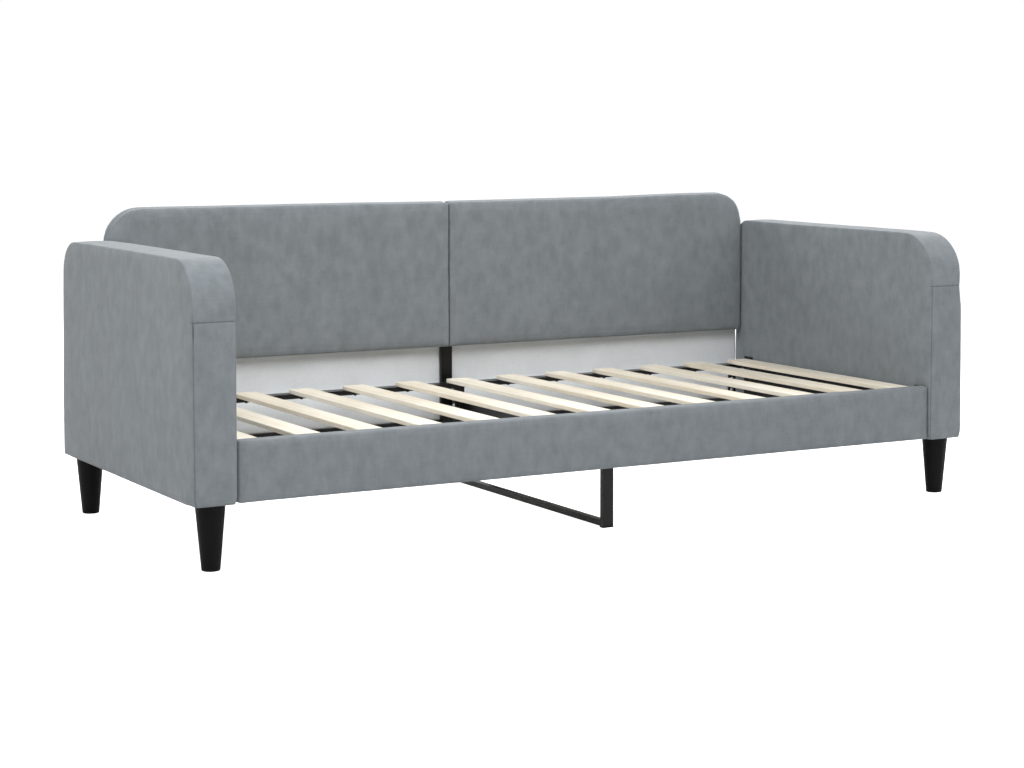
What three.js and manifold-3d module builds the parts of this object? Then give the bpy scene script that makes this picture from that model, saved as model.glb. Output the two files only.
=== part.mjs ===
// A three-seat daybed: two upholstered arms, a two-piece upholstered back, a padded front rail,
// a steel slat frame with a centre support, thirteen pine slats and four tapered feet.
// Millimetres, +Z up. The origin is on the floor under the middle of the daybed,
// +X runs along the length and the open front faces -Y.
import * as THREE from 'three';
import { mergeVertices } from 'three/addons/utils/BufferGeometryUtils.js';
import Module from 'manifold-3d';

const wasm = await Module();
wasm.setup();

// ---- Driving dimensions -------------------------------------------------------------------

const innerLength = 2010; // clear length between the arms, for a 2000 mm mattress
const depth = 940; // front of the arms to the back of the arms
const armThickness = 107;
const armUnderside = 154; // height of the arms' lower edge above the floor
const armTop = 714;
const armFrontRadius = 108; // rounded top corner at the front of each arm
const armRearRadius = 80;
const coverWall = 12; // foam and fabric round the timber of each arm

const backFront = 901; // measured back from the front of the arms
const backTop = 796;
const backBottom = 376;
const backCornerRadius = 95;
const padThickness = 21;
const boardThickness = 15;
const boardMargin = 6; // the board stays this far inside the edge of the pad
const boardTopMargin = 9;

const railFront = 5.5;
const railBottom = 155.5;
const railTop = 300;
const railCoverWall = 8;
const railBoardThickness = 18;
const railCorner = 5;

const tubeWide = 30; // legs of the centre support
const tubeThin = 15;
const tubeWall = 1.5;
const seatRailHeight = 13; // flat tubes that carry the slats
const frontSeatRail = { from: 32, to: 63 };
const rearSeatRail = { from: 843, to: 883 };

const slatCount = 13;
const slatPitch = 160;
const slatWidth = 64;
const slatThickness = 11.5;
const slatTop = 293.5;
const slatFrom = 34;
const slatTo = 864;
const slatEdge = 1.5; // small bevel along the slat edges

const postWidth = 34.5;
const postFront = 925;
const postBack = 937;

const footTopRadius = 35;
const footBottomRadius = 21.8;
const footInset = 43; // centre of a foot from the front or the back of its arm
const studRadius = 4;
const studLength = 26;
const footPlateSize = 60;

const gap = 0.3; // clearance between pieces that touch
const cutThrough = 1; // how far a cutting tool reaches past the piece it cuts
const circleSegments = 40;
const arcSegments = 14;

const halfInner = innerLength / 2;
const halfOuter = halfInner + armThickness;
const seatRailTop = slatTop - slatThickness - gap;
const seatRailBottom = seatRailTop - seatRailHeight;
const armCentre = halfInner + armThickness / 2;

// ---- Finishes -----------------------------------------------------------------------------

function finish(color, roughness, metalness = 0) {
  return new THREE.MeshStandardMaterial({ color, roughness, metalness });
}

const fabric = finish(0x80868a, 0.95);
const lining = finish(0xc2c8cb, 0.95);
const blackCloth = finish(0x17181a, 0.95);
const pine = finish(0xe2d5b4, 0.6);
const timber = finish(0xc9ae82, 0.75);
const blackSteel = finish(0x1b1c1e, 0.45, 0.6);
const blackPlastic = finish(0x151617, 0.4);
const zincSteel = finish(0x9a9c9e, 0.4, 0.9);

// ---- Building tools -----------------------------------------------------------------------

const daybed = new THREE.Group();

function place(name, geometry, material) {
  const mesh = new THREE.Mesh(geometry, material);
  mesh.name = name;
  daybed.add(mesh);
  return mesh;
}

// Distances along Y are given from the front of the arms, and moved to the middle here.
function fromFront(y) {
  return y - depth / 2;
}

function boxBetween(low, high) {
  const size = high.map((value, axis) => value - low[axis]);
  const geometry = new THREE.BoxGeometry(...size);
  const middle = high.map((value, axis) => (value + low[axis]) / 2);
  geometry.translate(middle[0], fromFront(middle[1]), middle[2]);
  return geometry;
}

function toSolid(geometry) {
  const bare = geometry.clone();
  bare.deleteAttribute('normal');
  bare.deleteAttribute('uv');
  const merged = mergeVertices(bare, 1e-4);
  const mesh = new wasm.Mesh({
    numProp: 3,
    vertProperties: new Float32Array(merged.attributes.position.array),
    triVerts: new Uint32Array(merged.index.array),
  });
  return new wasm.Manifold(mesh);
}

function toGeometry(solid) {
  const mesh = solid.getMesh();
  const geometry = new THREE.BufferGeometry();
  geometry.setAttribute('position', new THREE.BufferAttribute(mesh.vertProperties, 3));
  geometry.setIndex(new THREE.BufferAttribute(mesh.triVerts, 1));
  geometry.computeVertexNormals();
  return geometry;
}

function cut(geometry, ...tools) {
  return toGeometry(tools.reduce((solid, tool) => solid.subtract(toSolid(tool)), toSolid(geometry)));
}

function join(geometry, ...others) {
  return toGeometry(others.reduce((solid, other) => solid.add(toSolid(other)), toSolid(geometry)));
}

function overlapOf(geometry, other) {
  return toGeometry(toSolid(geometry).intersect(toSolid(other)));
}

function verticalCylinder(radius, from, to, x, y) {
  const geometry = new THREE.CylinderGeometry(radius, radius, to - from, circleSegments);
  geometry.rotateX(Math.PI / 2);
  geometry.translate(x, fromFront(y), (from + to) / 2);
  return geometry;
}

// Extrudes an outline drawn in front-to-back distance and height, along X.
function extrudeAlongX(outline, xFrom, xTo) {
  const options = { depth: xTo - xFrom, bevelEnabled: false, curveSegments: arcSegments };
  const geometry = new THREE.ExtrudeGeometry(outline, options);
  geometry.rotateX(Math.PI / 2);
  geometry.rotateZ(Math.PI / 2);
  geometry.translate(xFrom, fromFront(0), 0);
  return geometry;
}

// Extrudes an outline drawn in X and height, from one front-to-back distance to another.
function extrudeAlongY(outline, yFrom, yTo) {
  const options = { depth: yTo - yFrom, bevelEnabled: false, curveSegments: arcSegments };
  const geometry = new THREE.ExtrudeGeometry(outline, options);
  geometry.rotateX(Math.PI / 2);
  geometry.translate(0, fromFront(yTo), 0);
  return geometry;
}

function mirrored(side, low, high) {
  return side > 0 ? [low, high] : [-high, -low];
}

function sideName(side) {
  return side > 0 ? 'right' : 'left';
}

// ---- Arms ---------------------------------------------------------------------------------

// Side view of an arm, pulled in by an inset all round except at the bottom.
function armOutline(inset, bottom) {
  const front = inset;
  const back = depth - inset;
  const top = armTop - inset;
  const frontRadius = armFrontRadius - inset;
  const rearRadius = armRearRadius - inset;
  const outline = new THREE.Shape();
  outline.moveTo(front, bottom);
  outline.lineTo(back, bottom);
  outline.lineTo(back, top - rearRadius);
  outline.absarc(back - rearRadius, top - rearRadius, rearRadius, 0, Math.PI / 2, false);
  outline.lineTo(front + frontRadius, top);
  outline.absarc(front + frontRadius, top - frontRadius, frontRadius, Math.PI / 2, Math.PI, false);
  outline.closePath();
  return outline;
}

function makeArmCover(side) {
  const [xFrom, xTo] = mirrored(side, halfInner, halfOuter);
  const shell = extrudeAlongX(armOutline(0, armUnderside), xFrom, xTo);
  const hollowOutline = armOutline(coverWall, armUnderside - cutThrough);
  const hollow = extrudeAlongX(hollowOutline, xFrom + coverWall, xTo - coverWall);
  place(`arm_cover_${sideName(side)}`, cut(shell, hollow), fabric);
}

const underClothThickness = 1.5;
const footPlateThickness = 3.4;
const armTimberBottom = armUnderside + underClothThickness + footPlateThickness + 2 * gap;
const armPost = 48;
const armRail = 45;
const boreDepth = studLength + 2;
const boreRadius = studRadius + 1;

function makeArmTimber(side) {
  const inset = coverWall + gap;
  const [xFrom, xTo] = mirrored(side, halfInner + inset, halfOuter - inset);
  const roomInCover = extrudeAlongX(armOutline(inset, armTimberBottom), xFrom, xTo);
  const betweenPosts = [inset + armPost + gap, depth - inset - armPost - gap];
  const members = {
    front_post: [[inset, inset + armPost], [armTimberBottom, armTop]],
    rear_post: [[depth - inset - armPost, depth - inset], [armTimberBottom, armTop]],
    top_rail: [betweenPosts, [armTop - inset - armRail, armTop]],
    bottom_rail: [betweenPosts, [armTimberBottom, armTimberBottom + armRail]],
  };
  for (const [name, [ySpan, zSpan]] of Object.entries(members)) {
    const blank = boxBetween([xFrom - cutThrough, ySpan[0], zSpan[0]],
      [xTo + cutThrough, ySpan[1], zSpan[1]]);
    let member = overlapOf(blank, roomInCover);
    if (name.endsWith('post')) {
      const boreY = name === 'front_post' ? footInset : depth - footInset;
      const boreTop = armUnderside + boreDepth;
      member = cut(member, verticalCylinder(boreRadius, armTimberBottom - cutThrough, boreTop,
        side * armCentre, boreY));
    }
    place(`arm_${name}_${sideName(side)}`, member, timber);
  }
}

// Thin black cloth that closes the underside of an arm, with holes for the feet's studs.
function makeArmUnderCloth(side) {
  const inset = coverWall + gap;
  const [xFrom, xTo] = mirrored(side, halfInner + inset, halfOuter - inset);
  const top = armUnderside + underClothThickness;
  const sheet = boxBetween([xFrom, inset, armUnderside], [xTo, depth - inset, top]);
  const holes = [footInset, depth - footInset].map((y) => verticalCylinder(boreRadius,
    armUnderside - cutThrough, top + cutThrough, side * armCentre, y));
  place(`arm_under_cloth_${sideName(side)}`, cut(sheet, ...holes), blackCloth);
}

// Black lining on the inner side of an arm, below the slats and between the steel brackets.
function makeArmLining(side) {
  const thickness = 2;
  const frontMargin = 4;
  const rearMargin = 2;
  const [xFrom, xTo] = mirrored(side, halfInner - gap - thickness, halfInner - gap);
  const low = [xFrom, frontSeatRail.to + frontMargin, armUnderside + rearMargin];
  const high = [xTo, rearSeatRail.from - rearMargin, seatRailTop];
  place(`arm_lining_${sideName(side)}`, boxBetween(low, high), blackCloth);
}

// ---- Feet ---------------------------------------------------------------------------------

const footTop = armUnderside - gap;

// A moulded foot that tapers to the floor, with its steel stud moulded in on top.
function makeFoot(name, x, y) {
  const bevel = 1.5;
  const collar = 3;
  const studBevel = 1;
  const studTop = footTop + studLength;
  const profile = [
    [0, 0], [footBottomRadius - bevel, 0], [footBottomRadius, bevel],
    [footTopRadius, footTop - collar], [footTopRadius, footTop], [studRadius, footTop],
    [studRadius, studTop - studBevel], [studRadius - studBevel, studTop], [0, studTop],
  ].map(([radius, z]) => new THREE.Vector2(radius, z));
  const geometry = new THREE.LatheGeometry(profile, circleSegments);
  geometry.rotateX(Math.PI / 2);
  place(name, geometry, blackPlastic).position.set(x, fromFront(y), 0);
}

// Steel plate over the under cloth that spreads the foot's load into the post.
function makeFootPlate(name, x, y) {
  const half = footPlateSize / 2;
  const bottom = armUnderside + underClothThickness + gap;
  const top = bottom + footPlateThickness;
  const low = [x - half, y - half, bottom];
  const high = [x + half, y + half, top];
  const hole = verticalCylinder(boreRadius, bottom - cutThrough, top + cutThrough, x, y);
  place(name, cut(boxBetween(low, high), hole), zincSteel);
}

// ---- Back ---------------------------------------------------------------------------------

// Half of the back, from a seam near the middle to the arm, with a large outer top corner.
function backOutline(side, inner, outer, bottom, top, radius, lowerRadius) {
  const corner = new THREE.Vector2(outer - radius, top - radius);
  const lower = new THREE.Vector2(outer - lowerRadius, bottom + lowerRadius);
  const points = [new THREE.Vector2(inner, bottom)];
  for (let i = 0; i <= arcSegments; i += 1) {
    const angle = -Math.PI / 2 + (i / arcSegments) * (Math.PI / 2);
    points.push(new THREE.Vector2(Math.cos(angle), Math.sin(angle)).multiplyScalar(lowerRadius).add(lower));
  }
  for (let i = 0; i <= arcSegments; i += 1) {
    const angle = (i / arcSegments) * (Math.PI / 2);
    points.push(new THREE.Vector2(Math.cos(angle), Math.sin(angle)).multiplyScalar(radius).add(corner));
  }
  points.push(new THREE.Vector2(inner, top));
  return new THREE.Shape(points.map((point) => new THREE.Vector2(side * point.x, point.y)));
}

const backClearance = 2.5; // between the back and the inner face of an arm
const halfCentreGap = 0.8; // the two halves of the back part by twice this
const lowerCornerRadius = 14;
const skirtHem = 164;
const skirtSideGap = 8;
const skirtTopMargin = 4;
const skirtCornerRadius = 4;

function makeBackPad(side) {
  const outline = backOutline(side, halfCentreGap, halfInner - backClearance, backBottom, backTop,
    backCornerRadius, lowerCornerRadius);
  place(`back_pad_${sideName(side)}`, extrudeAlongY(outline, backFront, backFront + padThickness), fabric);
}

function makeBackBoard(side) {
  const outer = halfInner - backClearance - boardMargin;
  const outline = backOutline(side, postWidth / 2 + gap, outer, backBottom + boardMargin,
    backTop - boardTopMargin, backCornerRadius - boardMargin, lowerCornerRadius);
  const board = extrudeAlongY(outline, postBack - boardThickness, postBack);
  place(`back_board_${sideName(side)}`, board, timber);
}

// Rear cloth that covers the board and hangs below it as a skirt.
function makeRearCloth(side) {
  const outline = backOutline(side, halfCentreGap, halfInner - skirtSideGap, skirtHem,
    backTop - skirtTopMargin, backCornerRadius, skirtCornerRadius);
  place(`rear_cloth_${sideName(side)}`, extrudeAlongY(outline, postBack + gap, depth - 2 * gap), lining);
}

const lowerRailHeight = 12;
const lowerRailBottom = armUnderside + 2;
const lowerRailTop = lowerRailBottom + lowerRailHeight;

// Steel tube along the bottom of the back that the skirt is fixed to.
function makeRearBottomRail(side) {
  const [xFrom, xTo] = mirrored(side, postWidth / 2 + gap, halfInner - gap);
  const tube = boxBetween([xFrom, postFront, lowerRailBottom], [xTo, postBack, lowerRailTop]);
  const bore = boxBetween(
    [xFrom - cutThrough, postFront + tubeWall, lowerRailBottom + tubeWall],
    [xTo + cutThrough, postBack - tubeWall, lowerRailTop - tubeWall]);
  place(`rear_bottom_rail_${sideName(side)}`, cut(tube, bore), blackSteel);
}

// Upright plate that stands on the lower rail and ties it to the back edge of an arm.
function makeRearCornerPlate(side) {
  const width = 27;
  const height = 76;
  const thickness = 3;
  const [xFrom, xTo] = mirrored(side, halfInner - gap - width, halfInner - gap);
  const low = [xFrom, postBack - thickness, lowerRailTop + gap];
  const high = [xTo, postBack, lowerRailTop + height];
  place(`rear_corner_plate_${sideName(side)}`, boxBetween(low, high), blackSteel);
}

function makeBackPost() {
  const topMargin = 26;
  const low = [-postWidth / 2, postFront, lowerRailBottom];
  const high = [postWidth / 2, postBack, backTop - topMargin];
  const boreLow = [low[0] + tubeWall, low[1] + tubeWall, low[2] - cutThrough];
  const boreHigh = [high[0] - tubeWall, high[1] - tubeWall, high[2] + cutThrough];
  place('back_post', cut(boxBetween(low, high), boxBetween(boreLow, boreHigh)), blackSteel);
}

// ---- Front rail ---------------------------------------------------------------------------

const railEndClearance = 1.2;
const railEnd = halfInner - railEndClearance;

// Board of the front rail, in a cover of foam and fabric that is open at the back.
function makeFrontRail() {
  const inset = railCoverWall + gap;
  const boardBack = railFront + inset + railBoardThickness;
  const boardLow = [-railEnd + inset, railFront + inset, railBottom + inset];
  const boardHigh = [railEnd - inset, boardBack, railTop - inset];
  place('front_rail_board', boxBetween(boardLow, boardHigh), timber);

  const corner = railFront + railCorner;
  const outline = new THREE.Shape();
  outline.moveTo(boardBack, railBottom);
  outline.lineTo(boardBack, railTop);
  outline.lineTo(corner, railTop);
  outline.absarc(corner, railTop - railCorner, railCorner, Math.PI / 2, Math.PI, false);
  outline.lineTo(railFront, railBottom + railCorner);
  outline.absarc(corner, railBottom + railCorner, railCorner, Math.PI, Math.PI * 1.5, false);
  outline.closePath();
  const room = boxBetween(
    [-railEnd + railCoverWall, railFront + railCoverWall, railBottom + railCoverWall],
    [railEnd - railCoverWall, boardBack + cutThrough, railTop - railCoverWall]);
  place('front_rail_cover', cut(extrudeAlongX(outline, -railEnd, railEnd), room), fabric);
}

// ---- Slat frame ---------------------------------------------------------------------------

const bracketThickness = 3;
const bracketTop = 299;
const bracketBottom = armUnderside + 3;
const bracketRearMargin = 1;

function makeSeatRail(name, span) {
  const end = halfInner - bracketThickness - 2 * gap;
  const bar = boxBetween([-end, span.from, seatRailBottom], [end, span.to, seatRailTop]);
  const bore = boxBetween(
    [-end - cutThrough, span.from + tubeWall, seatRailBottom + tubeWall],
    [end + cutThrough, span.to - tubeWall, seatRailTop - tubeWall]);
  place(name, cut(bar, bore), blackSteel);
}

// Upright plate on an arm's inner face that carries one end of a seat rail.
function makeBracket(name, side, span) {
  const [xFrom, xTo] = mirrored(side, halfInner - gap - bracketThickness, halfInner - gap);
  const low = [xFrom, span.from + gap, bracketBottom];
  const high = [xTo, span.to + bracketRearMargin, bracketTop];
  place(name, boxBetween(low, high), blackSteel);
}

function makeSlat(index) {
  const x = (index - (slatCount - 1) / 2) * slatPitch;
  const half = slatWidth / 2;
  const bottom = slatTop - slatThickness;
  const outline = new THREE.Shape([
    [x - half + slatEdge, bottom], [x + half - slatEdge, bottom], [x + half, bottom + slatEdge],
    [x + half, slatTop - slatEdge], [x + half - slatEdge, slatTop], [x - half + slatEdge, slatTop],
    [x - half, slatTop - slatEdge], [x - half, bottom + slatEdge],
  ].map(([u, v]) => new THREE.Vector2(u, v)));
  const number = String(index + 1).padStart(2, '0');
  place(`slat_${number}`, extrudeAlongY(outline, slatFrom, slatTo), pine);
}

// ---- Centre support -----------------------------------------------------------------------

const frontLegFrom = 35;
const rearLegFrom = 845;
const glideHeight = 3;
const glideMargin = 0.8;
const plugHeight = 12;

function makeCentreLeg(name, from) {
  const half = tubeWide / 2;
  const low = [-half, from, glideHeight + gap];
  const high = [half, from + tubeThin, seatRailBottom - gap];
  const boreLow = [low[0] + tubeWall, low[1] + tubeWall, low[2] - cutThrough];
  const boreHigh = [high[0] - tubeWall, high[1] - tubeWall, high[2] + cutThrough];
  place(`centre_leg_${name}`, cut(boxBetween(low, high), boxBetween(boreLow, boreHigh)), blackSteel);

  const plugLow = [boreLow[0] + gap, boreLow[1] + gap, glideHeight - cutThrough];
  const plugHigh = [boreHigh[0] - gap, boreHigh[1] - gap, glideHeight + plugHeight];
  const sole = boxBetween([low[0] - glideMargin, low[1] - glideMargin, 0],
    [high[0] + glideMargin, high[1] + glideMargin, glideHeight]);
  place(`centre_glide_${name}`, join(sole, boxBetween(plugLow, plugHigh)), blackPlastic);
}

function makeFloorBar() {
  const halfWidth = 9.5;
  const bottom = 1.5;
  const top = 16.5;
  const from = frontLegFrom + tubeThin + glideMargin + gap;
  const to = rearLegFrom - glideMargin - gap;
  const low = [-halfWidth, from, bottom];
  const high = [halfWidth, to, top];
  const boreLow = [low[0] + tubeWall, from - cutThrough, low[2] + tubeWall];
  const boreHigh = [high[0] - tubeWall, to + cutThrough, high[2] - tubeWall];
  place('centre_floor_bar', cut(boxBetween(low, high), boxBetween(boreLow, boreHigh)), blackSteel);
}

// Beam from front to back, fastened beside the legs and ending at the back post.
function makeCrossBeam() {
  const width = 20;
  const bottom = 198;
  const top = 238;
  const low = [tubeWide / 2 + gap, frontLegFrom, bottom];
  const high = [low[0] + width, postFront - gap, top];
  const boreLow = [low[0] + tubeWall, low[1] - cutThrough, low[2] + tubeWall];
  const boreHigh = [high[0] - tubeWall, high[1] + cutThrough, high[2] - tubeWall];
  place('centre_cross_beam', cut(boxBetween(low, high), boxBetween(boreLow, boreHigh)), blackSteel);
}

// ---- Assembly -----------------------------------------------------------------------------

for (const side of [-1, 1]) {
  makeArmCover(side);
  makeArmTimber(side);
  makeArmUnderCloth(side);
  makeArmLining(side);
  makeBackPad(side);
  makeBackBoard(side);
  makeRearCloth(side);
  makeRearBottomRail(side);
  makeRearCornerPlate(side);
  const ends = [
    { end: 'front', footY: footInset, span: frontSeatRail },
    { end: 'rear', footY: depth - footInset, span: rearSeatRail },
  ];
  for (const { end, footY, span } of ends) {
    makeFoot(`foot_${end}_${sideName(side)}`, side * armCentre, footY);
    makeFootPlate(`foot_plate_${end}_${sideName(side)}`, side * armCentre, footY);
    makeBracket(`rail_bracket_${end}_${sideName(side)}`, side, span);
  }
}
makeFrontRail();
makeSeatRail('seat_rail_front', frontSeatRail);
makeSeatRail('seat_rail_rear', rearSeatRail);
makeBackPost();
makeCentreLeg('front', frontLegFrom);
makeCentreLeg('rear', rearLegFrom);
makeFloorBar();
makeCrossBeam();
for (let index = 0; index < slatCount; index += 1) {
  makeSlat(index);
}

export default daybed;
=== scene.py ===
import math

import bmesh
import bpy
from mathutils import Matrix, Vector, noise


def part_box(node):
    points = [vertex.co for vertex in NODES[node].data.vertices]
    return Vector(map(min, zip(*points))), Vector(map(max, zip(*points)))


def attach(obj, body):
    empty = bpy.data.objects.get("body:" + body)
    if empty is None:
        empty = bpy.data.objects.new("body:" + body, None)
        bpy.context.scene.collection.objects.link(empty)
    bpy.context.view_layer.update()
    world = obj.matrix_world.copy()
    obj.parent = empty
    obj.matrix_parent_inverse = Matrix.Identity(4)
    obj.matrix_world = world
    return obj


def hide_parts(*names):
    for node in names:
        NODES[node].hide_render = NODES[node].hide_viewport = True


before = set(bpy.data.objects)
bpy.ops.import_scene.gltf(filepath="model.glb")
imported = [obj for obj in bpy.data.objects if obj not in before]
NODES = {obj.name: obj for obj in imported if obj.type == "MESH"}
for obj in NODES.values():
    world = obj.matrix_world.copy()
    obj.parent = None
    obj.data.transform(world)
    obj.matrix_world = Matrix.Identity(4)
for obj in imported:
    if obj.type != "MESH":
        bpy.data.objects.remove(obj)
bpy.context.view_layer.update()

MM = 0.001
SIDES = {"left": -1, "right": 1}
ENDS = ("front", "rear")
X_AXIS = Vector((1, 0, 0))
Y_AXIS = Vector((0, 1, 0))
Z_AXIS = Vector((0, 0, 1))


# ---- Shaping tools ------------------------------------------------------------------------


def smooth_step(low, high, value):
    """0 below low, 1 above high, and a soft ramp between them."""
    share = min(1.0, max(0.0, (value - low) / (high - low)))
    return share * share * (3 - 2 * share)


def hump(value, middle, width):
    """1 at the middle, fading to 0 a width away on either side."""
    return smooth_step(1, 0, abs(value - middle) / width)


def flat_grid(middle, along, up, length, height, step):
    """A flat grid of near-square faces, centred on a point."""
    turn = Matrix((along * length / 2, up * height / 2, along.cross(up))).transposed().to_4x4()
    turn.translation = middle
    bm = bmesh.new()
    columns = max(1, round(length / step))
    rows = max(1, round(height / step))
    bmesh.ops.create_grid(bm, x_segments=columns, y_segments=rows, size=1, matrix=turn)
    return bm


def round_corner(bm, axes, centre, signs, radius):
    """Draws the square corner of a grid in to a quarter circle about a centre."""
    for vert in bm.verts:
        first, second = ((vert.co[axis] - middle) * sign / radius
                         for axis, middle, sign in zip(axes, centre, signs))
        if first > 0 and second > 0:
            drawn = (first * math.sqrt(1 - second * second / 2),
                     second * math.sqrt(1 - first * first / 2))
            for axis, middle, sign, share in zip(axes, centre, signs, drawn):
                vert.co[axis] = middle + sign * radius * share


def thicken(bm, step, layers):
    """Pulls a flat grid out into a slab, with edge loops across its thickness."""
    grown = bmesh.ops.extrude_face_region(bm, geom=bm.faces[:])
    verts = [item for item in grown["geom"] if isinstance(item, bmesh.types.BMVert)]
    start = verts[0].co.copy()
    bmesh.ops.translate(bm, verts=verts, vec=step)
    for layer in range(1, layers):
        whole = bm.verts[:] + bm.edges[:] + bm.faces[:]
        bmesh.ops.bisect_plane(bm, geom=whole, plane_co=start + step * layer / layers,
                               plane_no=step.normalized())
    bmesh.ops.recalc_face_normals(bm, faces=bm.faces[:])


def remove_faces(bm, chosen):
    faces = [face for face in bm.faces if chosen(face)]
    bmesh.ops.delete(bm, geom=faces, context="FACES")


def finished(name, bm, smooth=True):
    """Turns a bmesh into an object that rides on the daybed."""
    mesh = bpy.data.meshes.new(name)
    bm.to_mesh(mesh)
    bm.free()
    mesh.polygons.foreach_set("use_smooth", [smooth] * len(mesh.polygons))
    piece = bpy.data.objects.new(name, mesh)
    bpy.context.scene.collection.objects.link(piece)
    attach(piece, "root")
    return piece


FOAM_PRESSURE = 14
SWELL_FRAMES = 20


def swell(piece, held, cap):
    """Fills a cover as its foam does: pressure from inside, with the held points kept.
    cap gives, for a point, how far the foam lets the fabric rise there."""
    mesh = piece.data
    rest = [vert.co.copy() for vert in mesh.vertices]
    group = piece.vertex_groups.new(name="held")
    for vert in mesh.vertices:
        hold = held(vert.co)
        if hold > 0:
            group.add([vert.index], hold, "REPLACE")
    cloth = piece.modifiers.new("cloth", "CLOTH")
    settings = cloth.settings
    settings.quality = 6
    settings.mass = 0.3
    settings.tension_stiffness = 20
    settings.compression_stiffness = 20
    settings.shear_stiffness = 6
    settings.bending_stiffness = 0.4
    settings.vertex_group_mass = "held"
    settings.use_pressure = True
    settings.uniform_pressure_force = FOAM_PRESSURE
    settings.effector_weights.gravity = 0
    cloth.collision_settings.use_collision = False
    cloth.point_cache.frame_start = 1
    cloth.point_cache.frame_end = SWELL_FRAMES
    scene = bpy.context.scene
    for number in range(1, SWELL_FRAMES + 1):
        scene.frame_set(number)
    moved = piece.evaluated_get(bpy.context.evaluated_depsgraph_get()).data
    placed = [vert.co.copy() for vert in moved.vertices]
    piece.modifiers.remove(cloth)
    piece.vertex_groups.remove(group)
    scene.frame_set(1)
    for vert, old, new in zip(mesh.vertices, rest, placed):
        move = new - old
        limit = cap(old)
        if move.length > 0:
            move *= limit * math.tanh(move.length / limit) / move.length
        vert.co = old + move


BROAD_RIPPLES = 7  # how many to a metre, about
FINE_RIPPLES = 21


def ripple(piece, depth, seed):
    """Gives a cover the shallow hollows and rises that fabric over foam has."""
    mesh = piece.data
    normals = [vert.normal.copy() for vert in mesh.vertices]
    shift = Vector((seed * 3.1, seed * 1.7, seed * 2.3))
    for vert, normal in zip(mesh.vertices, normals):
        broad = noise.noise(vert.co * BROAD_RIPPLES + shift)
        fine = noise.noise(vert.co * FINE_RIPPLES + shift)
        vert.co += normal * (broad * depth + fine * depth * 0.35)


DARK_SEAM = 0.3  # a seam floor with more painted shade than this has a crisp bottom
SEAM_CREASE = 0.8


def sew(piece, on_seam, width, depth_at, shade_for):
    """Sinks a seam along the chosen edges, with a rolled edge on either side; for a point,
    depth_at gives how deep the seam is and the last function how much painted shade its floor
    gets."""
    bm = bmesh.new()
    bm.from_mesh(piece.data)
    creases = bm.edges.layers.float.new("crease_edge")
    painted_seam_shade = bm.verts.layers.float.new("painted_seam_shade")
    bm.edges.ensure_lookup_table()
    seam = [bm.edges[index] for index in on_seam]
    made = bmesh.ops.bevel(bm, geom=seam, offset=width, offset_type="OFFSET", segments=2,
                           profile=0.5, material=-1, affect="EDGES", clamp_overlap=True)
    channel = set(made["faces"])
    bm.normal_update()
    floor_of_seam = [vert for vert in made["verts"]
                     if all(face in channel for face in vert.link_faces)]
    sunk = [(vert, vert.normal.copy()) for vert in floor_of_seam]
    # Each floor point is sunk and given its amount of painted seam shade.
    for vert, normal in sunk:
        vert[painted_seam_shade] = shade_for(vert.co)
        vert.co -= normal * depth_at(vert.co)
    bottom = {vert for vert in floor_of_seam if vert[painted_seam_shade] > DARK_SEAM}
    for edge in bm.edges:
        if edge.verts[0] in bottom and edge.verts[1] in bottom:
            edge[creases] = SEAM_CREASE
    bm.to_mesh(piece.data)
    bm.free()
    piece.data.polygons.foreach_set("use_smooth", [True] * len(piece.data.polygons))


def crease(piece, chosen, amount):
    """Keeps the chosen edges crisp when the piece is rounded."""
    bm = bmesh.new()
    bm.from_mesh(piece.data)
    layers = bm.edges.layers.float
    layer = layers.get("crease_edge") or layers.new("crease_edge")
    for edge in bm.edges:
        if all(chosen(vert.co) for vert in edge.verts):
            edge[layer] = amount
    bm.to_mesh(piece.data)
    bm.free()


def subdivide(piece, levels):
    rounder = piece.modifiers.new("round", "SUBSURF")
    rounder.levels = levels
    rounder.render_levels = levels


def give_wall(piece, thickness):
    """Gives an open cover its wall of foam and fabric, inwards."""
    wall = piece.modifiers.new("wall", "SOLIDIFY")
    wall.thickness = thickness
    wall.offset = -1


# ---- Patterns shared by the finishes --------------------------------------------------------


def new_group(name, inputs, outputs):
    group = bpy.data.node_groups.new(name, "ShaderNodeTree")
    for label, kind, value in inputs:
        socket = group.interface.new_socket(name=label, in_out="INPUT", socket_type=kind)
        if value is not None:
            socket.default_value = value
    for label, kind in outputs:
        group.interface.new_socket(name=label, in_out="OUTPUT", socket_type=kind)
    start = group.nodes.new("NodeGroupInput")
    end = group.nodes.new("NodeGroupOutput")
    return group, start, end


def add_node(tree, kind, **values):
    """Adds a node; a value sets the input of that name, or the node's own setting."""
    node = tree.nodes.new(kind)
    for label, value in values.items():
        if label in node.bl_rna.properties.keys():
            setattr(node, label, value)
        else:
            node.inputs[label.replace("_", " ")].default_value = value
    return node


def math_node(tree, operation, first, second=0.5):
    node = tree.nodes.new("ShaderNodeMath")
    node.operation = operation
    for socket, value in zip(node.inputs, (first, second)):
        if isinstance(value, (int, float)):
            socket.default_value = value
        else:
            tree.links.new(value, socket)
    return node.outputs[0]


def scaled_place(tree, place, scale):
    mapping = tree.nodes.new("ShaderNodeMapping")
    mapping.inputs["Scale"].default_value = scale
    tree.links.new(place, mapping.inputs["Vector"])
    return mapping.outputs["Vector"]


def noise_value(tree, place, scale, detail=3.0, roughness=0.55):
    node = add_node(tree, "ShaderNodeTexNoise", Scale=scale, Detail=detail, Roughness=roughness)
    tree.links.new(place, node.inputs["Vector"])
    return node.outputs["Fac"]


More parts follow.
